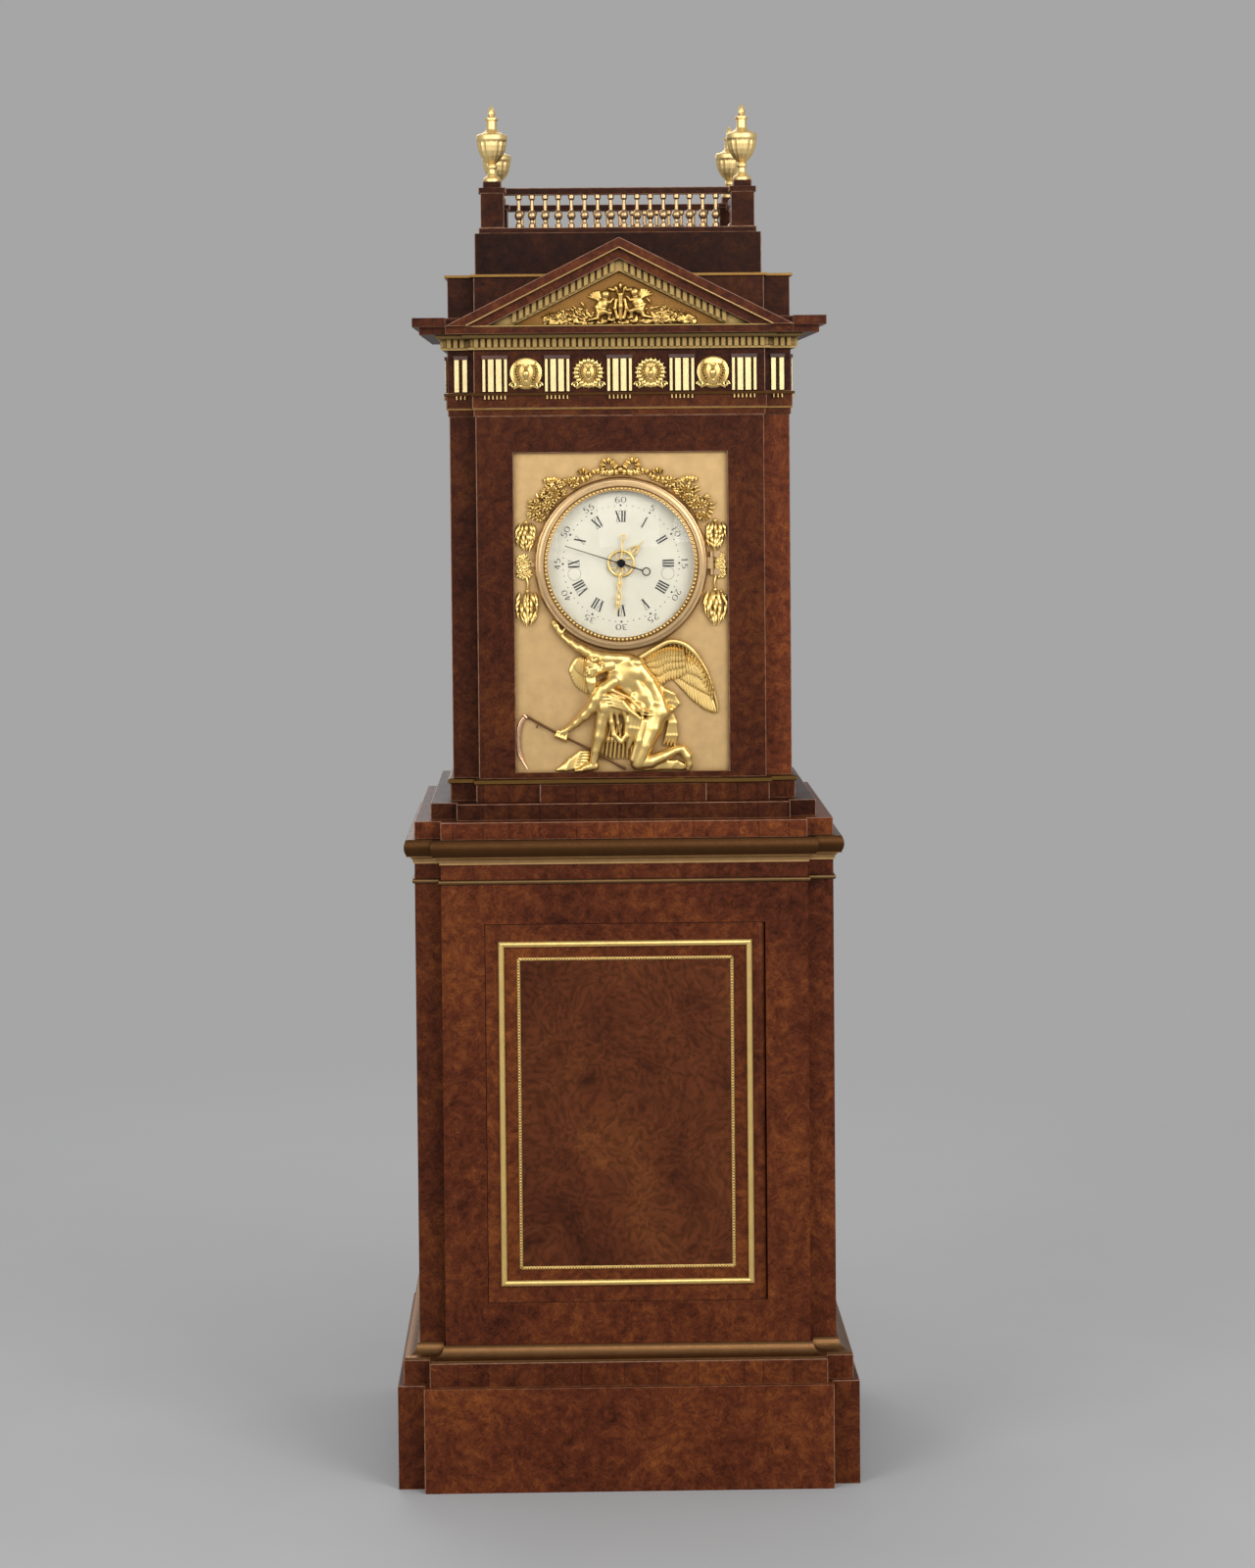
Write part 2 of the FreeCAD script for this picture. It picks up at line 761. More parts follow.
fascia_low = course(
    "fascia_low", hollow_plan(fascia_low_half, shaft_half, shaft_front), architrave_z, fascia_low_height)
fascia_high = course(
    "fascia_high", hollow_plan(fascia_high_half, shaft_half, shaft_front),
    architrave_z + fascia_low_height, fascia_high_height)
keep(join("architrave", [fascia_low, fascia_high]), "architrave")
keep(course("frieze", hollow_plan(frieze_half, shaft_half, shaft_front), frieze_z, frieze_height), "frieze")

bed_profile = [
    (0, 0),
    (bed_reach_low, 0),
    (bed_reach_low, bed_lip_low),
    (bed_groove, bed_lip_low),
    (bed_groove, bed_height - bed_lip_high),
    (bed_reach_high - bed_lip_low, bed_height - bed_lip_high, -0.35),
    (bed_reach_high, bed_height),
    (0, bed_height),
]
bed = moulding("bed_moulding", frieze_half, bed_z, bed_profile)


def places(low, high, pitch):
    """Evenly spaced places about the middle of a run, at about the pitch, clear of both ends."""
    count = int((high - low) / pitch)
    middle = (low + high) / 2
    return [middle + (i - (count - 1) / 2) * pitch for i in range(count)]


def bed_dentils():
    """Small blocks in the groove of the bed moulding, along the front, the corners and the sides."""
    half = frieze_half.value
    centre = half - corner_strip.value
    pitch = dentil_pitch.value
    width = dentil_width.value
    inner = bed_groove.value
    depth = dentil_reach.value - inner
    low = bed_z.value + bed_lip_low.value
    height = bed_height.value - bed_lip_high.value - bed_lip_low.value
    front_y = front(frieze_half).value - dentil_reach.value
    corner_y = front_y + corner_setback.value
    blocks = []
    for x in places(-centre - inner, centre + inner, pitch):
        blocks.append(Part.makeBox(width, depth, height, FreeCAD.Vector(x - width / 2, front_y, low)))
    for side in (-1, 1):
        for x in places(centre + dentil_reach.value, half + inner, pitch):
            corner = FreeCAD.Vector(side * x - width / 2, corner_y, low)
            blocks.append(Part.makeBox(width, depth, height, corner))
        outer = half + inner if side > 0 else -half - dentil_reach.value
        for y in places(corner_y + depth, back.value, pitch):
            blocks.append(Part.makeBox(depth, width, height, FreeCAD.Vector(outer, y - width / 2, low)))
    return Part.makeCompound(blocks)


doc.recompute()
dentils = solid_piece("bed_dentils", bed_dentils())
keep(join("cornice_dentils", [bed, dentils]), "cornice_dentils")

corona = course("corona", breakfront(corona_half), corona_z, corona_height)
crown_corner = front(crown_half) + corner_setback
crown_notch = front(attic_half) - attic_edge_reach
crown_plan = [
    (-crown_half, back),
    (-crown_half, crown_corner),
    (-pediment_half, crown_corner),
    (-pediment_half, crown_notch),
    (pediment_half, crown_notch),
    (pediment_half, crown_corner),
    (crown_half, crown_corner),
    (crown_half, back),
]
crown = course("crown", crown_plan, crown_z, crown_height)
keep(join("cornice", [corona, crown]), "cornice")

architrave_bead = [(0, 0), (taenia_reach, 0), (taenia_reach, taenia_height), (0, taenia_height)]
half_round = [
    (0, 0),
    (bead_reach, bead_reach / 2),
    (bead_reach, bead_height - bead_reach / 2),
    (0, bead_height),
]
edge_round = [(0, 0), (attic_edge_reach, attic_edge / 4), (attic_edge_reach, attic_edge), (0, attic_edge)]
fascia_line = [(0, 0), (moulding_fillet, 0), (moulding_fillet, moulding_fillet), (0, moulding_fillet)]
hood_mouldings = [
    moulding("hood_bead", hood_plinth_half, hood_z - bead_height, half_round),
    moulding("fascia_line", fascia_low_half, architrave_z + fascia_low_height - moulding_fillet, fascia_line),
    moulding("taenia", fascia_high_half, frieze_z - taenia_height, architrave_bead),
    moulding("attic_edge", attic_half, block_z - attic_edge, edge_round),
]
keep(group("hood_mouldings", hood_mouldings), "hood_mouldings")


def triglyph_shape(half, bars):
    """A grooved plate with a cap and drops below, drawn facing the viewer with its foot at the origin."""
    plate = triglyph_plate.value
    tall = triglyph_height.value
    cap = triglyph_cap.value
    proud = plate + triglyph_bar.value
    drop = gutta_height.value
    reach = taenia_reach.value + fascia_high_half.value - frieze_half.value
    solid = Part.makeBox(2 * half, plate, tall, FreeCAD.Vector(-half, -plate, 0))
    over = triglyph_overhang.value
    cap_corner = FreeCAD.Vector(-half - over, -proud - over, tall - cap)
    strips = [Part.makeBox(2 * (half + over), proud + over, cap, cap_corner)]
    for low, high in bars:
        corner = FreeCAD.Vector(low * half, -proud, 0)
        strips.append(Part.makeBox((high - low) * half, proud, tall - cap, corner))
    solid = solid.multiFuse(strips).removeSplitter()
    drops = []
    count = 6 if len(bars) > 2 else 3
    top = -triglyph_rise.value - taenia_height.value
    for i in range(count):
        x = (2 * (i + 0.5) / count - 1) * half
        at = FreeCAD.Vector(x, -reach, top - drop)
        drops.append(Part.makeCone(gutta_radius.value, gutta_radius.value * 0.6, drop, at))
    return Part.makeCompound([solid] + drops)


FULL_BARS = ((-1, -0.78), (-0.55, -0.1), (0.1, 0.55), (0.78, 1))
CORNER_BARS = ((-1, -0.3), (0.3, 1))
LEFT_SIDE = FreeCAD.Rotation(FreeCAD.Vector(0, 0, 1), -90)
RIGHT_SIDE = FreeCAD.Rotation(FreeCAD.Vector(0, 0, 1), 90)


def moved(shape, x, y, z, turn=None):
    """A copy of a shape, turned and then moved."""
    copy = shape.copy()
    copy.Placement = FreeCAD.Placement(FreeCAD.Vector(x, y, z), turn or FreeCAD.Rotation())
    return copy


side_middle = (front(frieze_half).value + corner_setback.value + back.value) / 2
side_rows = [side_middle + i * triglyph_pitch.value for i in (-2, -1, 0, 1, 2)]
front_rows = [i * triglyph_pitch.value for i in (-2, -1, 0, 1, 2)]


def triglyphs():
    half = frieze_half.value
    low = frieze_z.value + triglyph_rise.value
    full = triglyph_shape(triglyph_half.value, FULL_BARS)
    corner = triglyph_shape(triglyph_half.value * 0.52, CORNER_BARS)
    y = front(frieze_half).value
    corner_x = half - corner_strip.value / 2
    made = [moved(full, x, y, low) for x in front_rows]
    made += [moved(corner, side * corner_x, y + corner_setback.value, low) for side in (-1, 1)]
    made += [moved(full, -half, row, low, LEFT_SIDE) for row in side_rows]
    made += [moved(full, half, row, low, RIGHT_SIDE) for row in side_rows]
    return Part.makeCompound(made)


keep(solid_piece("triglyphs", triglyphs()), "triglyphs")

medallion_rim = medallion_radius * 0.82
medallion = turned("medallion", [
    (0, 0),
    (medallion_radius, 0),
    (medallion_radius, medallion_proud / 2, -0.4),
    (medallion_rim, medallion_proud),
    (medallion_rim, medallion_proud / 2),
    (medallion_radius / 2, medallion_proud / 2, -dome_bulge(medallion_proud, medallion_radius)),
    (0, medallion_proud),
])
doc.recompute()


def medallions():
    half = frieze_half.value
    z = frieze_z.value + triglyph_rise.value + triglyph_height.value / 2
    y = front(frieze_half).value
    disc = medallion.Shape
    gap = triglyph_pitch.value / 2
    made = [moved(disc, x + gap, y, z, FACING) for x in front_rows[:-1]]
    made += [moved(disc, -half, row + gap, z, LEFT_SIDE.multiply(FACING)) for row in side_rows[:-1]]
    made += [moved(disc, half, row + gap, z, RIGHT_SIDE.multiply(FACING)) for row in side_rows[:-1]]
    return Part.makeCompound(made)


keep(solid_piece("medallions", medallions()), "medallions")

# Pediment and attic

slope = pediment_height / pediment_half
apex = crown_z + pediment_height


def rake(drop):
    """Half width, at the pediment's foot, of a line that runs parallel to the slope and lower by drop."""
    return (pediment_height - drop) * pediment_half / pediment_height


def chevron(name, top_drop, low_drop, y, thickness):
    outline = [
        (-rake(top_drop), crown_z),
        (0, apex - top_drop),
        (rake(top_drop), crown_z),
        (rake(low_drop), crown_z),
        (0, apex - low_drop),
        (-rake(low_drop), crown_z),
    ]
    return upright(name, outline, y, thickness)


attic_front = front(attic_half)
pediment_back = crown_notch
corona_drop = rake_crown + rake_corona
dentil_drop = corona_drop + rake_dentils
crown_deep = pediment_back - front(crown_half)
corona_deep = pediment_back - front(corona_half)
rake_crown_layer = chevron("rake_crown_layer", as_dim(0), rake_crown, pediment_back, crown_deep)
rake_corona_layer = chevron("rake_corona_layer", rake_crown, corona_drop, pediment_back, corona_deep)
tympanum = upright(
    "tympanum",
    [(-rake(corona_drop), crown_z), (rake(corona_drop), crown_z), (0, apex - corona_drop)],
    pediment_back,
    tympanum_thickness,
)
roof_half = (apex - block_z) * pediment_half / pediment_height
roof = upright(
    "pediment_roof",
    [(-roof_half, block_z), (roof_half, block_z), (0, apex)],
    front(block_half),
    front(block_half) - pediment_back,
)
keep(join("pediment", [rake_crown_layer, rake_corona_layer, tympanum, roof]), "pediment")

tympanum_y = pediment_back - tympanum_thickness
band_deep = rake_dentil_proud - dentil_reach + bed_groove
rake_band = chevron("rake_band", corona_drop, dentil_drop, tympanum_y, band_deep)
doc.recompute()


def rake_dentil_blocks():
    """Upright-sided dentils along both slopes, in front of the band."""
    rise = slope.value
    width = dentil_width.value
    low_drop = dentil_drop.value - bed_lip_low.value
    high_drop = corona_drop.value
    band_face = (tympanum_y - band_deep).value
    depth = dentil_reach.value - bed_groove.value
    blocks = []
    for x in places(dentil_pitch.value / 2, rake(dentil_drop).value, dentil_pitch.value):
        for side in (-1, 1):
            corners = []
            for dx, drop in ((-0.5, high_drop), (0.5, high_drop), (0.5, low_drop), (-0.5, low_drop)):
                across = x + dx * width
                corners.append(FreeCAD.Vector(side * across, band_face, apex.value - rise * across - drop))
            face = Part.Face(Part.makePolygon(corners + corners[:1]))
            blocks.append(face.extrude(FreeCAD.Vector(0, -depth, 0)))
    return Part.makeCompound(blocks)


rake_blocks = solid_piece("rake_blocks", rake_dentil_blocks())
keep(join("pediment_dentils", [rake_band, rake_blocks]), "pediment_dentils")


def lidded_box(name, plan, inner, z, height):
    """A box of boards, open below, under a top board."""
    body = new_body(name)
    walls = sketch_on(body, "XY_Plane")
    draw(walls, plan)
    draw(walls, inner)
    pad(body, walls, height)
    lid = sketch_on(body, "XY_Plane", height - attic_board)
    draw(lid, plan)
    pad(body, lid, attic_board)
    seat(body, 0, 0, z)
    return body


attic_inner_front = attic_front + corner_setback + attic_board
attic_inner = rectangle(attic_half - corner_strip, attic_inner_front, back - attic_board)
keep(lidded_box("attic_base", breakfront(attic_half), attic_inner, attic_z, attic_height), "attic_base")
block_plan = rectangle(block_half, gallery_y - block_half, gallery_y + block_half)
block_inner_half = block_half - attic_board
block_inner = rectangle(block_inner_half, gallery_y - block_inner_half, gallery_y + block_inner_half)
keep(lidded_box("attic_block", block_plan, block_inner, block_z, block_height), "attic_block")

gallery_parts = [
    block(
        "gallery_floor",
        (-gallery_half, gallery_half),
        (gallery_y - gallery_half, gallery_y + gallery_half),
        (gallery_z, baluster_z),
    )
]
rail_top = rail_z + gallery_rail
finial_block_z = rail_top + finial_block_height
for i, (sx, sy) in enumerate(((-1, -1), (1, -1), (1, 1), (-1, 1))):
    x = sx * pedestal_place
    y = gallery_y + sy * pedestal_place
    for part, half, low, high in (
        ("post", pedestal_half, baluster_z, rail_top - pedestal_cap_height),
        ("cap", pedestal_cap_half, rail_top - pedestal_cap_height, rail_top),
        ("foot", finial_block_half, rail_top, finial_block_z),
    ):
        across = (x - half, x + half)
        along = (y - half, y + half)
        gallery_parts.append(block(f"gallery_{part}_{i}", across, along, (low, high)))
rail_end = pedestal_place - pedestal_half
for i, side in enumerate((-1, 1)):
    x = side * pedestal_place
    y = gallery_y + side * pedestal_place
    gallery_parts.append(
        block(
            f"gallery_rail_x_{i}",
            (-rail_end, rail_end),
            (y - gallery_rail_half, y + gallery_rail_half),
            (rail_z, rail_top),
        )
    )
    gallery_parts.append(
        block(
            f"gallery_rail_y_{i}",
            (x - gallery_rail_half, x + gallery_rail_half),
            (gallery_y - rail_end, gallery_y + rail_end),
            (rail_z, rail_top),
        )
    )
keep(join("balustrade", gallery_parts), "balustrade")

baluster_ring = baluster_radius * 0.75
baluster_swell = (baluster_radius.value - baluster_neck.value) / (gallery_height.value * 0.15)
baluster = turned("baluster", [
    (0, 0),
    (baluster_ring, 0),
    (baluster_ring, gallery_height * 0.12),
    (baluster_neck, gallery_height * 0.18),
    (baluster_neck, gallery_height * 0.24, -baluster_swell),
    (baluster_neck, gallery_height * 0.54),
    (baluster_neck, gallery_height * 0.84),
    (baluster_ring, gallery_height * 0.9),
    (baluster_ring, gallery_height),
    (0, gallery_height),
])
finial_foot = finial_radius * 0.57
finial_stem = finial_radius * 0.25
finial_ring = finial_radius * 0.34
finial_neck = finial_radius * 0.33
finial_disc = finial_radius * 0.43
finial = turned("finial", [
    (0, 0),
    (finial_foot, 0),
    (finial_foot, finial_height * 0.05, 0.35),
    (finial_stem, finial_height * 0.16),
    (finial_ring, finial_height * 0.18),
    (finial_ring, finial_height * 0.21),
    (finial_stem, finial_height * 0.235, -0.28),
    (finial_radius * 0.94, finial_height * 0.53),
    (finial_radius, finial_height * 0.545),
    (finial_radius, finial_height * 0.6),
    (finial_radius * 0.9, finial_height * 0.615, 0.3),
    (finial_neck, finial_height * 0.69),
    (finial_neck, finial_height * 0.79),
    (finial_disc, finial_height * 0.805),
    (finial_disc, finial_height * 0.83),
    (finial_stem * 0.7, finial_height * 0.845),
    (finial_stem, finial_height * 0.9),
    (0, finial_height),
])
doc.recompute()


def balusters():
    """A row of turned balusters along each side of the gallery."""
    pitch = baluster_pitch.value
    runs = places(pitch / 2 - rail_end.value, rail_end.value - pitch / 2, pitch)
    side = pedestal_place.value
    middle = gallery_y.value
    z = baluster_z.value
    made = []
    for run in runs:
        for way in (-1, 1):
            made.append(moved(baluster.Shape, run, middle + way * side, z))
            made.append(moved(baluster.Shape, way * side, middle + run, z))
    return Part.makeCompound(made)


def finials():
    side = pedestal_place.value
    middle = gallery_y.value
    corners = ((-side, -side), (side, -side), (side, side), (-side, side))
    return Part.makeCompound([moved(finial.Shape, x, middle + y, finial_block_z.value) for x, y in corners])


keep(solid_piece("balusters", balusters()), "balusters")
keep(solid_piece("finials", finials()), "finials")

# Trunk door, hung on two pivots in its rounded edge

door = new_body("trunk_door")
door_plan = sketch_on(door, "XY_Plane")
draw(door_plan, [
    (-door_half, door_front),
    (pivot_x, door_front, -1.0),
    (pivot_x, door_front + door_thickness),
    (-door_half, door_front + door_thickness),
])
pad(door, door_plan, door_height)
pivot_hole = pivot_radius + pivot_clearance
for level in (as_dim(0), door_height - pivot_reach - end_clearance):
    hole = sketch_on(door, "XY_Plane", level)
    draw_circle(hole, pivot_x, pivot_y, pivot_hole)
    pocket(door, hole, pivot_reach + end_clearance)
seat(door, 0, 0, door_z)
keep(door, "trunk_door")

door_middle = door_z + door_height / 2
keep(
    picture_frame(
        "door_moulding", frame_half, door_middle - frame_height / 2, door_middle + frame_height / 2,
        door_front, frame_width, frame_proud),
    "door_moulding",
)
keep(
    picture_frame(
        "door_beading", beading_half, door_middle - beading_height / 2, door_middle + beading_height / 2,
        door_front, beading_width, beading_proud),
    "door_beading",
)

# Dial panel, dial, bezel and its glass

panel_outline = rectangle(panel_half + panel_margin, panel_z - panel_margin, panel_top + panel_margin)
panel_window = (0, dial_height, dial_window)
keep(upright("dial_panel", panel_outline, dial_y, panel_thickness, [panel_window]), "dial_panel")

dial = new_body("dial")
dial_disc = sketch_on(dial, "XY_Plane")
draw_circle(dial_disc, 0, 0, dial_radius)
draw_circle(dial_disc, 0, 0, dial_bore)
pad(dial, dial_disc, dial_thickness)
shutters = sketch_on(dial, "XY_Plane")
for side in (-1, 1):
    draw_circle(shutters, side * winding_place, -winding_drop, shutter_radius)
pad(dial, shutters, dial_thickness + shutter_proud)
keep(face_forward(dial, 0, dial_y + dial_thickness, dial_height), "dial")

glass_rim = bezel_sight + glass_seat
lip_low = glass_edge + bezel_gap
bezel_ring = turned("bezel_ring", [
    (glass_rim, bezel_gap),
    (bezel_radius, bezel_gap),
    (bezel_radius, bezel_depth * 0.3, -0.35),
    (bezel_radius * 0.93, bezel_depth),
    (bezel_radius * 0.9, bezel_depth),
    (bezel_radius * 0.885, bezel_depth * 0.85),
    (bezel_sight, bezel_depth * 0.95),
    (bezel_sight, lip_low),
    (glass_rim, lip_low),
])
hinge_x = bezel_radius + knuckle_radius + glass_seat
hinge_y = panel_y - knuckle_radius - end_clearance
knuckle_half = knuckle_length / 2
knuckle_span = (dial_height - knuckle_half, dial_height + knuckle_half)
bezel_knuckle = rod("bezel_knuckle", knuckle_radius, hinge_x, hinge_y, knuckle_span)
bezel_ear = block(
    "bezel_ear",
    (bezel_radius - glass_seat, hinge_x),
    (hinge_y - knuckle_radius, hinge_y + knuckle_radius),
    (dial_height - knuckle_half, dial_height + knuckle_half),
)
catch_x = bezel_radius + glass_seat * 2
bezel_catch = block(
    "bezel_catch",
    (-catch_x, glass_seat - bezel_radius),
    (hinge_y - knuckle_radius, hinge_y + knuckle_radius),
    (dial_height - knuckle_radius, dial_height + knuckle_radius),
)
face_forward(bezel_ring, 0, panel_y, dial_height)
bezel_solid = join("bezel_solid", [bezel_ring, bezel_knuckle, bezel_ear, bezel_catch])
bezel_bore = rod(
    "bezel_bore", hinge_pin + running_clearance, hinge_x, hinge_y,
    (dial_height - knuckle_half, dial_height + knuckle_half))
keep(cut("bezel", bezel_solid, bezel_bore), "bezel")

glass_low = lip_low - glass_thickness
glass_sight = bezel_sight - end_clearance
glass_rise = dome_bulge(glass_dome, glass_sight)
glass = turned("dial_glass", [
    (0, glass_low + glass_dome),
    (0, glass_low + glass_dome + glass_thickness, glass_rise),
    (glass_sight, lip_low),
    (glass_rim, lip_low),
    (glass_rim, glass_low),
    (glass_sight, glass_low, -glass_rise),
])
keep(face_forward(glass, 0, panel_y, dial_height), "dial_glass")

hinge_pieces = []
leaf_low = knuckle_half + hinge_gap
leaf_high = leaf_low + knuckle_half
for i, (low, high) in enumerate(((-leaf_high, -leaf_low), (leaf_low, leaf_high))):
    span = (dial_height + low, dial_height + high)
    hinge_pieces.append(rod(f"hinge_knuckle_{i}", knuckle_radius, hinge_x, hinge_y, span))
    hinge_pieces.append(block(f"hinge_leaf_{i}", (hinge_x, hinge_x + hinge_leaf), (hinge_y, panel_y), span))
hinge_pieces.append(
    rod("hinge_pin_bar", hinge_pin, hinge_x, hinge_y, (dial_height - leaf_high, dial_height + leaf_high)))
keep(join("bezel_hinge", hinge_pieces), "bezel_hinge")

# Relief on the dial panel and in the pediment

PANEL = FreeCAD.Placement(FreeCAD.Vector(0, panel_y.value, dial_height.value), FACING)


def pebble(x, z, x_half, z_half, proud):
    """A rounded boss with a flat back, x and z from the panel's reference point."""
    dome = Part.makeSphere(1, FreeCAD.Vector(), FreeCAD.Vector(0, 0, 1), 0, 90, 360)
    stretch = FreeCAD.Matrix()
    stretch.scale(x_half, z_half, proud)
    stretch.move(FreeCAD.Vector(x, z, 0))
    return dome.transformGeometry(stretch)


def limb(start, start_radius, finish, finish_radius):
    """A tapered round limb between two points (x, z, height over the panel)."""
    start = FreeCAD.Vector(*start)
    axis = FreeCAD.Vector(*finish) - start
    length = axis.Length
    foot = FreeCAD.Vector(0, 0, -start_radius)
    first = FreeCAD.Vector(start_radius, 0, 0)
    last = FreeCAD.Vector(finish_radius, 0, length)
    tip = FreeCAD.Vector(0, 0, length + finish_radius)
    diagonal = math.sqrt(0.5)
    round_foot = FreeCAD.Vector(start_radius * diagonal, 0, -start_radius * diagonal)
    round_tip = FreeCAD.Vector(finish_radius * diagonal, 0, length + finish_radius * diagonal)
    edges = [
        Part.Arc(foot, round_foot, first).toShape(),
        Part.LineSegment(first, last).toShape(),
        Part.Arc(last, round_tip, tip).toShape(),
        Part.LineSegment(tip, foot).toShape(),
    ]
    solid = Part.Face(Part.Wire(edges)).revolve(FreeCAD.Vector(), FreeCAD.Vector(0, 0, 1), 360)
    turn = FreeCAD.Rotation(FreeCAD.Vector(0, 0, 1), axis)
    solid.Placement = FreeCAD.Placement(start, turn)
    return solid


def cutout(points, low, high):
    """A flat piece with straight edges between two heights over the panel."""
    corners = [FreeCAD.Vector(x, z, low) for x, z in points]
    return Part.Face(Part.makePolygon(corners + corners[:1])).extrude(FreeCAD.Vector(0, 0, high - low))


def on_panel(solids):
    """Join solids and take away what lies behind the panel's face."""
    reach = case_depth.value
    behind = Part.makeBox(2 * reach, 2 * reach, reach, FreeCAD.Vector(-reach, -reach, -reach))
    whole = solids[0].multiFuse(solids[1:])
    return whole.cut(behind)


def figure():
    """A winged old figure on one knee, its head turned to the left and one arm raised towards the dial."""
    body = [
        limb((-6, -158, 12), 19, (22, -182, 12), 16),
        limb((22, -182, 12), 16, (43, -202, 12), 18),
        limb((-38, -150, 16), 12, (-41, -154, 16), 12),
        limb((-36, -156, 13), 8, (-14, -150, 13), 10),
        limb((-14, -146, 14), 8, (-47, -122, 13), 6.5),
        limb((-47, -122, 13), 6.5, (-80, -110, 10), 4.5),
        limb((-80, -110, 10), 5, (-92, -94, 7), 4.5),
        limb((-12, -164, 18), 8, (-36, -181, 18), 6.5),
        limb((-36, -181, 18), 6.5, (-82, -230, 8), 4.5),
        limb((40, -204, 16), 15, (-20, -200, 18), 11),
        limb((-20, -200, 18), 10, (-38, -272, 12), 6),
        limb((-38, -276, 9), 7, (-55, -281, 7), 5),
        limb((46, -206, 10), 16, (14, -274, 12), 11),
        limb((24, -275, 10), 10, (83, -256, 9), 7),
        limb((83, -256, 8), 7, (94, -276, 7), 5),
    ]
    drapery = [
        pebble(-6, -226, 15, 26, 14),
        pebble(73, -208, 11, 30, 11),
        pebble(-65, -279, 22, 10, 9),
        pebble(66, -281, 26, 8, 12),
    ]
    near_wing = [(14, -142), (40, -118), (78, -106), (112, -136), (135, -204), (110, -180)]
    near_wing += [(70, -162), (34, -160)]
    far_wing = [(-46, -152), (-58, -149), (-70, -164), (-66, -182), (-48, -170)]
    return on_panel(body + drapery + [cutout(near_wing, 0, 7), cutout(far_wing, 0, 6)])


def scythe():
    """A long shaft lying across the foot of the panel, with its curved blade at the left end."""
    blade = [(-130, -212), (-137, -218), (-146, -243), (-142, -272), (-129, -288), (-136, -268), (-138, -243)]
    parts = [limb((-132, -213, 3), 2.6, (-80, -240, 3), 2.6), cutout(blade, 0, 4)]
    return on_panel(parts)


def garlands():
    """A bow over the dial and clusters of leaves and fruit hanging down both sides."""
    solids = [pebble(0, 131, 7, 7, 8)]
    for side in (-1, 1):
        solids.append(pebble(side * 15, 139, 12, 9, 7))
        solids.append(cutout([(side * 5, 128), (side * 70, 112), (side * 72, 118), (side * 6, 134)], 0, 3))
        for x, z, x_half, z_half, proud in (
            (70, 116, 12, 9, 8),
            (102, 98, 18, 17, 11),
            (116, 76, 15, 14, 10),
            (130, 46, 14, 27, 12),
            (134, -34, 13, 15, 10),
            (130, -68, 13, 20, 11),
        ):
            solids.append(pebble(side * x, z, x_half, z_half, proud))
        strip = ((141, 30), (145, 30), (145, -32), (141, -32))
        solids.append(cutout([(side * x, z) for x, z in strip], 0, 3))
    return on_panel(solids)


keep(solid_piece("figure_of_time", figure(), PANEL), "figure_of_time")
keep(solid_piece("scythe", scythe(), PANEL), "scythe")
keep(solid_piece("garlands", garlands(), PANEL), "garlands")


def tympanum_relief():
    """A cluster of flowers with foliage running out to both sides."""
    solids = [pebble(0, 30, 22, 26, 9)]
    for side in (-1, 1):
        for x, z, x_half, z_half in ((30, 22, 18, 16), (58, 14, 20, 10), (84, 9, 14, 6)):
            solids.append(pebble(side * x, z, x_half, z_half, 7))
    return on_panel(solids)


TYMPANUM = FreeCAD.Placement(FreeCAD.Vector(0, tympanum_y.value, crown_z.value), FACING)
keep(solid_piece("tympanum_relief", tympanum_relief(), TYMPANUM), "tympanum_relief")

# Movement
# Its own frame is that of the dial: x to the right, y up, z from the back plate's inner face to the viewer.

MOVEMENT = FreeCAD.Placement(FreeCAD.Vector(0, movement_y.value, dial_height.value), FACING)
ADDENDUM = 0.6
DEDENDUM = 1.2
ROOT_SHARE = 0.25
TIP_SHARE = 0.11

gap = plate_gap.value
plate = plate_thickness.value
front_face = gap + plate
pivot_r = arbor_pivot.value
bore_r = pivot_r + running_clearance.value
thick = wheel_thickness.value
shake = end_clearance.value
dial_front = front_face + motion_gap.value + dial_thickness.value
hour_level = dial_front + panel_thickness.value + 1
minute_level = hour_level + hand_thickness.value + hand_space.value
seconds_level = minute_level + hand_thickness.value + hand_space.value


def corner(origin, reach, other, other_reach, left):
    """The point at two distances from two others, on the left or right of the line between them."""
    line = other - origin
    along = (reach ** 2 - other_reach ** 2 + line.Length ** 2) / (2 * line.Length)
    across = math.sqrt(reach ** 2 - along ** 2) * (1 if left else -1)
    ahead = FreeCAD.Vector(line).normalize()
    return origin + ahead * along + FreeCAD.Vector(-ahead.y, ahead.x, 0) * across


def spread(module, first, second):
    """Distance between the centres of two meshing wheels."""
    return module.value * (first + second) / 2


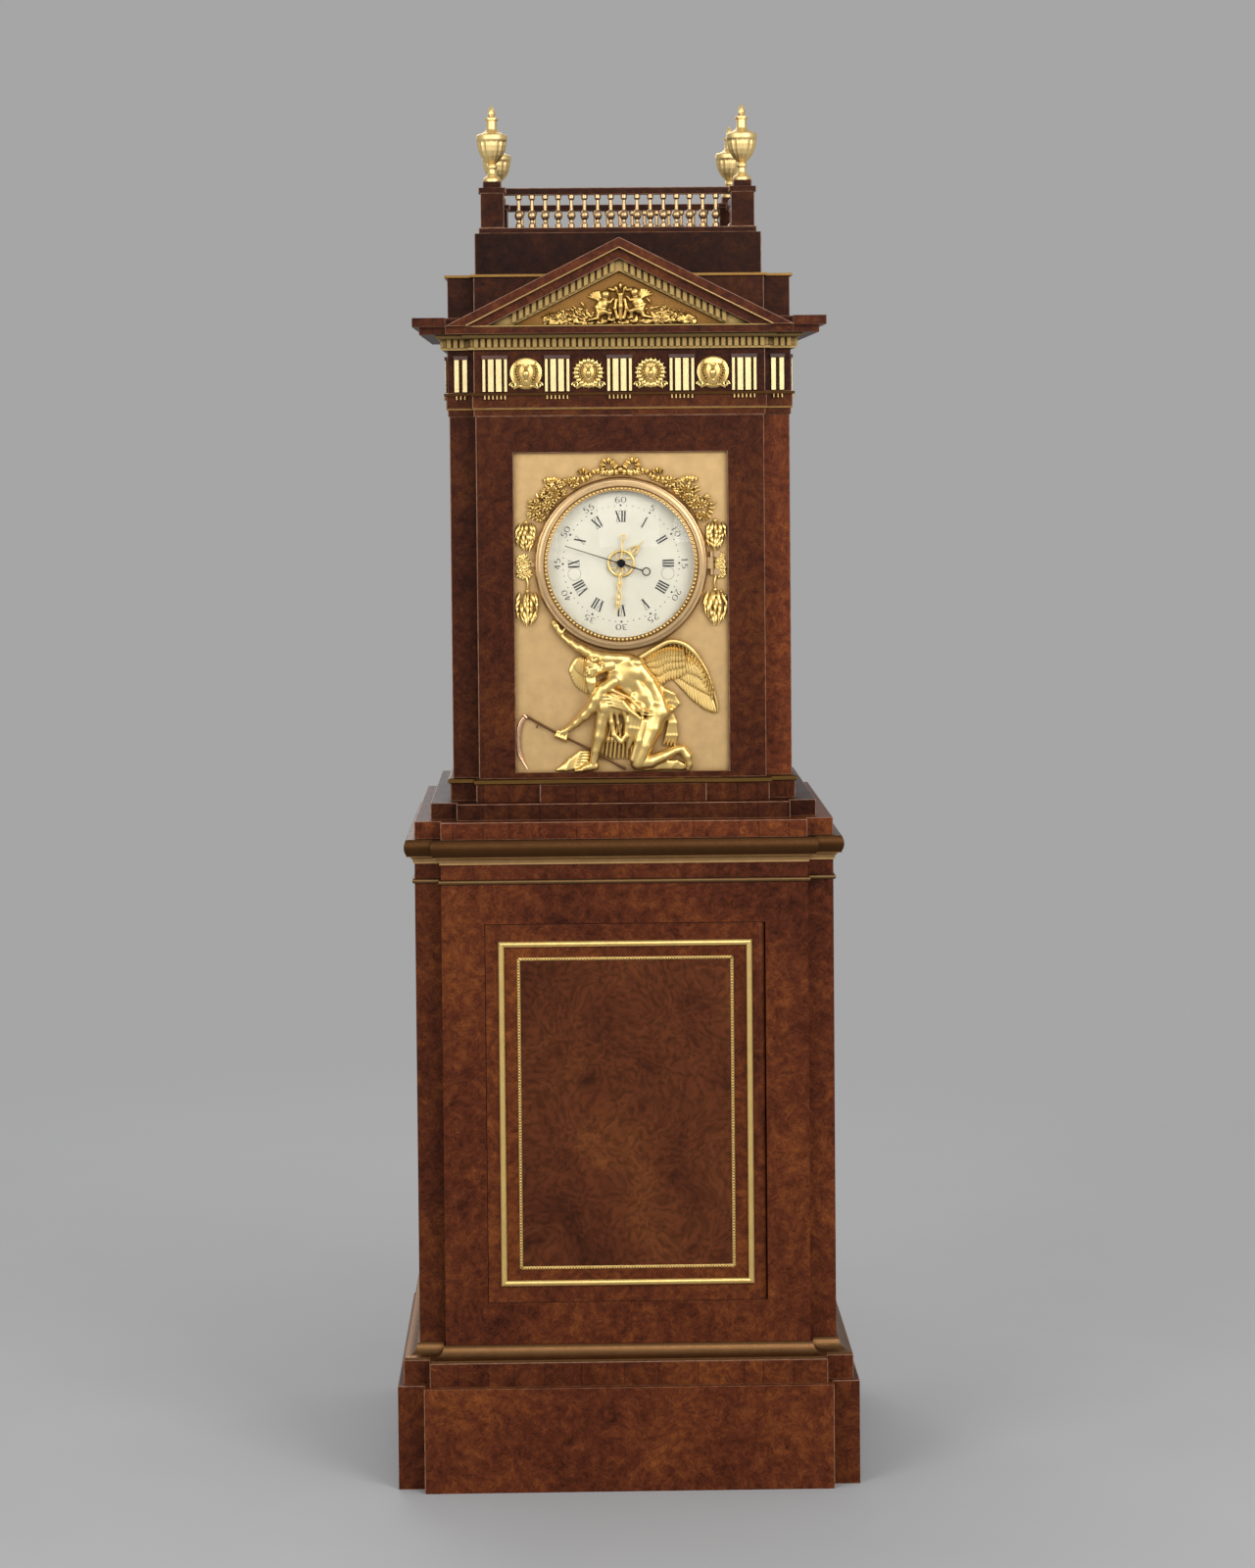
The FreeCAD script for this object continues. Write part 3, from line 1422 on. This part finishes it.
BARREL, SECOND_PINION, SECOND_WHEEL, MINUTE_PINION = 96, 12, 60, 12
MINUTE_WHEEL, THIRD_PINION, THIRD_WHEEL, ESCAPE_PINION = 64, 8, 60, 8
ESCAPE_TEETH, MOTION_WHEEL, IDLER_PINION, HOUR_WHEEL = 30, 36, 6, 72
at_centre = FreeCAD.Vector()
at_barrel = FreeCAD.Vector(winding_place.value, -winding_drop.value, 0)
at_strike = FreeCAD.Vector(-winding_place.value, -winding_drop.value, 0)
at_minute = FreeCAD.Vector(minute_right.value, -minute_drop.value, 0)
at_second = corner(
    at_barrel, spread(barrel_module, BARREL, SECOND_PINION),
    at_minute, spread(train_module, SECOND_WHEEL, MINUTE_PINION), True)
at_third = corner(
    at_centre, spread(third_module, THIRD_WHEEL, ESCAPE_PINION),
    at_minute, spread(train_module, MINUTE_WHEEL, THIRD_PINION), False)
motion_spread = spread(motion_module, MOTION_WHEEL, MOTION_WHEEL)
at_idler = corner(at_centre, motion_spread, at_minute, motion_spread, True)
at_anchor = FreeCAD.Vector(0, anchor_rise.value, 0)
at_hammer = FreeCAD.Vector(-hammer_place.value, hammer_rise.value, 0)
hour_module = motion_spread * 2 / (IDLER_PINION + HOUR_WHEEL)


def disc(radius, at, low, high):
    return Part.makeCylinder(radius, high - low, FreeCAD.Vector(at.x, at.y, low))


def slab(x, y, low, high):
    """A box between pairs of places, in the movement's frame."""
    return Part.makeBox(x[1] - x[0], y[1] - y[0], high - low, FreeCAD.Vector(x[0], y[0], low))


def toothed(teeth, module, phase, at, low, high):
    """A wheel or pinion with thin stub teeth, the first at the angle phase."""
    root = module * (teeth / 2 - DEDENDUM)
    tip = module * (teeth / 2 + ADDENDUM)
    pitch = 2 * math.pi / teeth
    corners = []
    for i in range(teeth):
        for share, radius in ((-ROOT_SHARE, root), (-TIP_SHARE, tip), (TIP_SHARE, tip), (ROOT_SHARE, root)):
            angle = phase + pitch * (i + share)
            corners.append(at + FreeCAD.Vector(radius * math.cos(angle), radius * math.sin(angle), low))
    return Part.Face(Part.makePolygon(corners + corners[:1])).extrude(FreeCAD.Vector(0, 0, high - low))


def pinion(teeth, module, phase, at, wheel_low):
    """A pinion three wheels thick, with the wheel that it meshes with at its middle."""
    return toothed(teeth, module.value, phase, at, wheel_low - thick, wheel_low + 2 * thick)


def meshed(driver_teeth, driver_phase, driver_at, teeth, at):
    """The phase of a wheel whose gap faces its driver's tooth."""
    line = at - driver_at
    toward = math.atan2(line.y, line.x)
    pitch = 2 * math.pi / driver_teeth
    offset = (driver_phase - toward + pitch / 2) % pitch - pitch / 2
    return toward + math.pi - offset * driver_teeth / teeth + math.pi / teeth


def arbor(at, low, high):
    """A steel arbor with pivots in both plates, and longer ends where they are asked for."""
    shank = disc(arbor_radius.value, at, shake, gap - shake)
    return [shank, disc(pivot_r, at, low, high)]


def whole(solids):
    return solids[0].multiFuse(solids[1:]).removeSplitter()


def movement_piece(name, shape):
    return keep(solid_piece(name, shape, MOVEMENT), name)


def plate_blank(low, high):
    half = plate_half.value
    return slab((-half, half), (-plate_below.value, plate_above.value), low, high)


pillar_x = plate_half.value - pillar_inset.value
pillar_places = [
    FreeCAD.Vector(side * pillar_x, y, 0)
    for side in (-1, 1)
    for y in (pillar_inset.value - plate_below.value, plate_above.value - pillar_inset.value)
]
train_places = [at_second, at_minute, at_third, at_hammer]
strip_top = arbor_radius.value + 2 * shake
winding_bore = winding_radius.value + running_clearance.value


def front_plate():
    """The front plate, with the tube that carries the hands and the stud of the motion work."""
    tube = disc(centre_tube.value, at_centre, front_face, hour_level + shake)
    stud = disc(idler_stud.value, at_idler, front_face, front_face + 5 * thick + shake)
    blank = whole([plate_blank(gap, front_face), tube, stud])
    holes = [disc(bore_r, at, gap, front_face) for at in train_places + [at_anchor]]
    holes += [disc(winding_bore, at, gap, front_face) for at in (at_barrel, at_strike)]
    holes.append(disc(bore_r, at_centre, gap, hour_level + shake))
    return blank.cut(Part.makeCompound(holes))


def back_plate():
    """The back plate with its four pillars and the cock that carries the pendulum."""
    cock_low = -plate - cock_gap.value
    arm_end = -plate - pendulum_setback.value - 3 * arbor_radius.value
    rise = anchor_rise.value
    parts = [plate_blank(-plate, 0)]
    parts += [disc(pillar_radius.value, at, 0, gap) for at in pillar_places]
    half = cock_half.value
    leg = cock_leg.value
    arm = cock_arm_half.value
    span = (rise - cock_below.value, rise + cock_above.value)
    for low, high in ((-half, leg - half), (half - leg, half)):
        parts.append(slab((low, high), span, cock_low, -plate))
    parts.append(slab((-half, half), span, cock_low - plate, cock_low))
    parts.append(slab((-arm, arm), (rise + strip_top, span[1]), arm_end, cock_low))
    blank = whole(parts)
    holes = [disc(bore_r, at, -plate, 0) for at in train_places + [at_centre]]
    holes += [disc(winding_bore, at, -plate, 0) for at in (at_barrel, at_strike)]
    holes.append(disc(2 * arbor_radius.value, at_anchor, -plate, 0))
    holes.append(disc(bore_r, at_anchor, cock_low - plate, cock_low))
    return blank.cut(Part.makeCompound(holes))


movement_piece("front_plate", front_plate())
movement_piece("back_plate", back_plate())

seat_top = dial_height - plate_below
seat_front = movement_y - plate_gap - plate_thickness - end_clearance
seat_y = (seat_front, seat_front + seat_depth)
seat_z = (seat_top - seat_thickness, seat_top)
keep(block("seat_board", (-shaft_half, shaft_half), seat_y, seat_z), "seat_board")

barrel_high = gap - 3 * thick
barrel_low = barrel_high - barrel_length.value
teeth_low = barrel_high - thick


def barrel(at):
    """A spring barrel with its toothed rim, running on the winding arbor."""
    drum = disc(barrel_radius.value, at, barrel_low, barrel_high)
    rim = toothed(BARREL, barrel_module.value, 0, at, teeth_low, barrel_high)
    return whole([drum, rim]).cut(disc(winding_bore, at, barrel_low, barrel_high))


def winding_arbor(at):
    """The arbor that the key turns, with its square behind the dial."""
    half = winding_square.value / 2
    square_top = front_face + motion_gap.value - 2 * shake
    square = slab((at.x - half, at.x + half), (at.y - half, at.y + half), front_face + thick, square_top)
    return whole([disc(winding_radius.value, at, -plate, front_face + thick), square])


movement_piece("going_barrel", barrel(at_barrel))
movement_piece("strike_barrel", barrel(at_strike))
movement_piece("going_arbor", winding_arbor(at_barrel))
movement_piece("strike_arbor", winding_arbor(at_strike))

second_low = 7 * thick
minute_low = 3 * thick
third_low = 13 * thick
escape_low = 19 * thick
motion_low = front_face + thick


def second_arbor():
    phase = meshed(BARREL, 0, at_barrel, SECOND_PINION, at_second)
    driven = pinion(SECOND_PINION, barrel_module, phase, at_second, teeth_low)
    wheel = toothed(SECOND_WHEEL, train_module.value, 0, at_second, second_low, second_low + thick)
    return whole(arbor(at_second, -plate, front_face) + [driven, wheel])


def minute_arbor():
    phase = meshed(SECOND_WHEEL, 0, at_second, MINUTE_PINION, at_minute)
    driven = pinion(MINUTE_PINION, train_module, phase, at_minute, second_low)
    wheel = toothed(MINUTE_WHEEL, train_module.value, 0, at_minute, minute_low, minute_low + thick)
    motion = toothed(MOTION_WHEEL, motion_module.value, 0, at_minute, motion_low - shake, motion_low + thick)
    return whole(arbor(at_minute, -plate, motion_low + thick) + [driven, wheel, motion])


def third_arbor():
    phase = meshed(MINUTE_WHEEL, 0, at_minute, THIRD_PINION, at_third)
    driven = pinion(THIRD_PINION, train_module, phase, at_third, minute_low)
    wheel = toothed(THIRD_WHEEL, third_module.value, 0, at_third, third_low, third_low + thick)
    return whole(arbor(at_third, -plate, front_face) + [driven, wheel])


def escape_wheel():
    """The escape wheel, whose arbor runs through the centre of the dial to the seconds hand."""
    phase = meshed(THIRD_WHEEL, 0, at_third, ESCAPE_PINION, at_centre)
    driven = pinion(ESCAPE_PINION, third_module, phase, at_centre, third_low)
    tip = escape_radius.value
    root = tip * 0.82
    pitch = 2 * math.pi / ESCAPE_TEETH
    corners = []
    for i in range(ESCAPE_TEETH):
        for share, radius in ((0, tip), (0.15, tip), (0.3, root), (0.9, root)):
            angle = pitch * (i + share)
            corners.append(FreeCAD.Vector(radius * math.cos(angle), radius * math.sin(angle), escape_low))
    wheel = Part.Face(Part.makePolygon(corners + corners[:1])).extrude(FreeCAD.Vector(0, 0, thick))
    return whole(arbor(at_centre, -plate, seconds_level) + [driven, wheel])


def anchor():
    """The anchor with its two pallets, its arbor, and the crutch that leads the pendulum."""
    rise = anchor_rise.value
    reach = escape_radius.value + pallet_clearance.value
    lean = math.acos(escape_radius.value / rise)
    tip_x = reach * math.sin(lean)
    tip_y = reach * math.cos(lean)
    arm = anchor_arm.value
    arms = []
    for side in (-1, 1):
        low_edge = [(0, rise - arm / 2), (side * tip_x, tip_y)]
        outline = low_edge + [(side * (tip_x + arm), tip_y + arm), (0, rise + arm)]
        arms.append(cutout(outline, escape_low, escape_low + thick))
    cock_low = -plate - cock_gap.value
    shank = disc(arbor_radius.value, at_anchor, cock_low + shake, gap - shake)
    pivots = disc(pivot_r, at_anchor, cock_low - plate, front_face)
    crutch_high = cock_low + 3 * thick
    crutch_end = rise - crutch_length.value
    half = crutch_half.value
    crutch = slab((-half, half), (crutch_end, rise + half), crutch_high - thick, crutch_high)
    pin_low = -plate - pendulum_setback.value + rod_radius.value + running_clearance.value
    pin_place = FreeCAD.Vector(0, crutch_end + 2 * arbor_radius.value, 0)
    pin = disc(arbor_radius.value, pin_place, pin_low, crutch_high)
    return whole([shank, pivots, crutch, pin] + arms)


motion_phase = meshed(MOTION_WHEEL, 0, at_minute, MOTION_WHEEL, at_idler)
hour_low = motion_low + 2.5 * thick


def idler_wheel():
    wheel = toothed(MOTION_WHEEL, motion_module.value, motion_phase, at_idler, motion_low, motion_low + thick)
    leaves = toothed(IDLER_PINION, hour_module, 0, at_idler, motion_low + thick, hour_low + 1.5 * thick)
    bore = disc(idler_stud.value + running_clearance.value, at_idler, motion_low, hour_low + 1.5 * thick)
    return whole([wheel, leaves]).cut(bore)


def cannon_wheel():
    phase = meshed(MOTION_WHEEL, motion_phase, at_idler, MOTION_WHEEL, at_centre)
    wheel = toothed(MOTION_WHEEL, motion_module.value, phase, at_centre, motion_low, motion_low + thick)
    pipe = disc(cannon_radius.value, at_centre, motion_low, minute_level)
    bore = disc(centre_tube.value + running_clearance.value, at_centre, motion_low, minute_level)
    return whole([wheel, pipe]).cut(bore)


def hour_wheel():
    phase = meshed(IDLER_PINION, 0, at_idler, HOUR_WHEEL, at_centre)
    wheel = toothed(HOUR_WHEEL, hour_module, phase, at_centre, hour_low, hour_low + thick)
    pipe = disc(hour_pipe.value, at_centre, hour_low, hour_level)
    bore = disc(cannon_radius.value + running_clearance.value, at_centre, hour_low, hour_level)
    return whole([wheel, pipe]).cut(bore)


for name, maker in (
    ("second_arbor", second_arbor),
    ("minute_arbor", minute_arbor),
    ("third_arbor", third_arbor),
    ("escape_wheel", escape_wheel),
    ("anchor", anchor),
    ("idler_wheel", idler_wheel),
    ("cannon_wheel", cannon_wheel),
    ("hour_wheel", hour_wheel),
):
    movement_piece(name, maker())

# Hands, drawn pointing up and then turned clockwise to the time shown

HOUR_ANGLE = 45.4
MINUTE_ANGLE = 184.8
SECONDS_ANGLE = 288


def hand(solids, bore, level, angle):
    blank = whole(solids)
    if bore:
        blank = blank.cut(disc(bore, at_centre, level, level + hand_thickness.value))
    turn = FreeCAD.Matrix()
    turn.rotateZ(math.radians(-angle))
    blank.transformShape(turn, True)
    return blank


def open_ring(radius, width, at, low, high):
    return disc(radius, at, low, high).cut(disc(radius - width, at, low, high))


def leaf_point(foot, stem, half, length):
    """A pointed leaf: narrow at its foot, widest over half way up and sharp at its tip."""
    widest = foot + (length - foot) * 0.4
    right = [(stem, foot), (half, widest), (0, length)]
    return right + [(-x, y) for x, y in reversed(right[:-1])]


def hour_hand():
    """A pierced ring about the centre and a leaf-shaped point."""
    low = hour_level
    top = low + hand_thickness.value
    ring = open_ring(hour_ring.value, hour_ring_width.value, at_centre, low, top)
    hub = disc(hub_radius.value, at_centre, low, top)
    stem = hour_stem_half.value
    inside = hour_ring.value - hour_ring_width.value / 2
    bar = slab((-inside, inside), (-stem, stem), low, top)
    leaf = cutout(leaf_point(inside, stem, hour_leaf_half.value, hour_length.value), low, top)
    return hand([ring, hub, bar, leaf], cannon_radius.value + hinge_gap.value, low, HOUR_ANGLE)


def minute_hand():
    """A slim leaf with a long counterpoise."""
    low = minute_level
    top = low + hand_thickness.value
    stem = minute_stem_half.value
    half = minute_leaf_half.value
    length = minute_length.value
    tail = minute_tail.value
    hub = disc(hour_pipe.value, at_centre, low, top)
    bar = slab((-stem, stem), (-tail / 2, length / 2), low, top)
    leaf = cutout(leaf_point(length / 2, stem, half, length), low, top)
    poise = cutout([(x, -y) for x, y in leaf_point(tail / 2, stem, half, tail)], low, top)
    return hand([hub, bar, leaf, poise], pivot_r + hinge_gap.value, low, MINUTE_ANGLE)


def seconds_hand():
    """A thin pointer with an open ring on its tail."""
    low = seconds_level
    top = low + hand_thickness.value / 2
    tail = FreeCAD.Vector(0, -seconds_tail.value, 0)
    hub = disc(hub_radius.value, at_centre, low, top)
    ring = open_ring(seconds_ring.value, seconds_ring_width.value, tail, low, top)
    half = seconds_half.value
    foot = seconds_ring.value - seconds_ring_width.value / 2 - seconds_tail.value
    length = seconds_length.value
    pointer = cutout([(-half, foot), (half, foot), (half / 2, length), (-half / 2, length)], low, top)
    return hand([hub, ring, pointer], 0, low, SECONDS_ANGLE)


for name, maker in (("hour_hand", hour_hand), ("minute_hand", minute_hand), ("seconds_hand", seconds_hand)):
    movement_piece(name, maker())

# Pendulum, hammer and bell

rod_level = -plate - pendulum_setback.value
bob_y = anchor_rise.value - pendulum_length.value
UPRIGHT = FreeCAD.Vector(0, 1, 0)


def pendulum_rod():
    """The suspension strip, the rod and the rating nut under the bob."""
    rise = anchor_rise.value
    nut_top = bob_y - bob_radius.value
    low = nut_top - 2 * rating_nut.value
    top = rise - strip_length.value
    bar = Part.makeCylinder(rod_radius.value, top - low, FreeCAD.Vector(0, low, rod_level), UPRIGHT)
    thin = strip_thickness.value / 2
    wide = strip_width.value / 2
    strip_span = (top - strip_length.value / 2, rise + strip_top - shake / 2)
    strip = slab((-thin, thin), strip_span, rod_level - wide, rod_level + wide)
    nut_foot = FreeCAD.Vector(0, nut_top - rating_nut.value, rod_level)
    nut = Part.makeCylinder(rating_nut.value * 0.8, rating_nut.value, nut_foot, UPRIGHT)
    return whole([bar, strip, nut])


def pendulum_bob():
    """A lens-shaped bob, bored for the rod."""
    half = bob_thickness.value / 2
    radius = bob_radius.value
    rim = half * 0.15
    middle = FreeCAD.Vector(radius * 0.55, 0, half * 0.75)
    back_middle = FreeCAD.Vector(middle.x, 0, -middle.z)
    crown_point = FreeCAD.Vector(0, 0, half)
    back_point = FreeCAD.Vector(0, 0, -half)
    rim_high = FreeCAD.Vector(radius, 0, rim)
    rim_low = FreeCAD.Vector(radius, 0, -rim)
    edges = [
        Part.Arc(back_point, back_middle, rim_low).toShape(),
        Part.LineSegment(rim_low, rim_high).toShape(),
        Part.Arc(rim_high, middle, crown_point).toShape(),
        Part.LineSegment(crown_point, back_point).toShape(),
    ]
    lens = Part.Face(Part.Wire(edges)).revolve(FreeCAD.Vector(), FreeCAD.Vector(0, 0, 1), 360)
    lens.translate(FreeCAD.Vector(0, bob_y, rod_level))
    bore_start = FreeCAD.Vector(0, bob_y - 2 * radius, rod_level)
    bore = Part.makeCylinder(rod_radius.value, 4 * radius, bore_start, UPRIGHT)
    return lens.cut(bore)


bell_level = bell_post.value
bell_rim = plate_above.value + bell_rise.value


def bell():
    """A bowl-shaped bell on a post that stands on the back plate."""
    x = -bell_place.value
    radius = bell_radius.value
    top = plate_above.value
    middle = FreeCAD.Vector(x, bell_rim, bell_level)
    outer = Part.makeSphere(radius, middle, UPRIGHT, 0, 90, 360)
    inner = Part.makeSphere(radius - bell_wall.value, middle, UPRIGHT, 0, 90, 360)
    half = bell_foot_half.value
    foot = slab((x - half, x + half), (top - bell_foot_height.value, top), 0, 2 * bell_level)
    tall = bell_rim + radius + bell_nut.value - top
    post = Part.makeCylinder(bell_post.value, tall, FreeCAD.Vector(x, top, bell_level), UPRIGHT)
    return whole([outer.cut(inner), foot, post])


def hammer():
    """The bell hammer on its arbor, resting just clear of the bell's rim."""
    length = hammer_head_length.value
    head_left = -bell_place.value - bell_radius.value - hammer_gap.value - length
    head_y = bell_rim + hammer_head_rise.value
    head_foot = FreeCAD.Vector(head_left, head_y, bell_level)
    head = Part.makeCylinder(hammer_head_radius.value, length, head_foot, FreeCAD.Vector(1, 0, 0))
    head_x = head_left + length / 2
    half = hammer_arm_half.value
    foot = at_hammer
    outline = [(foot.x - half, foot.y), (foot.x + half, foot.y)]
    outline += [(head_x + half, head_y), (head_x - half, head_y)]
    arm = cutout(outline, bell_level - half / 2, bell_level + half / 2)
    return whole(arbor(at_hammer, -plate, front_face) + [head, arm])


for name, maker in (
    ("pendulum_rod", pendulum_rod),
    ("pendulum_bob", pendulum_bob),
    ("bell", bell),
    ("hammer", hammer),
):
    movement_piece(name, maker())

# Check and write

doc.recompute()
for thing in doc.Objects:
    if "Invalid" in thing.State or "Error" in thing.State:
        raise RuntimeError(f"{thing.Label} failed: {thing.State}")
for piece in pieces:
    if piece.Shape.isNull() or not piece.Shape.isValid() or not piece.Shape.Solids:
        raise RuntimeError(f"{piece.Label} has no valid solid")
for piece in pieces:
    piece.Shape.exportStep(f"parts/{piece.Label}.step")
    print(f"{piece.Label}: {len(piece.Shape.Solids)} solids, {piece.Shape.Volume / 1000:.1f} cm3")
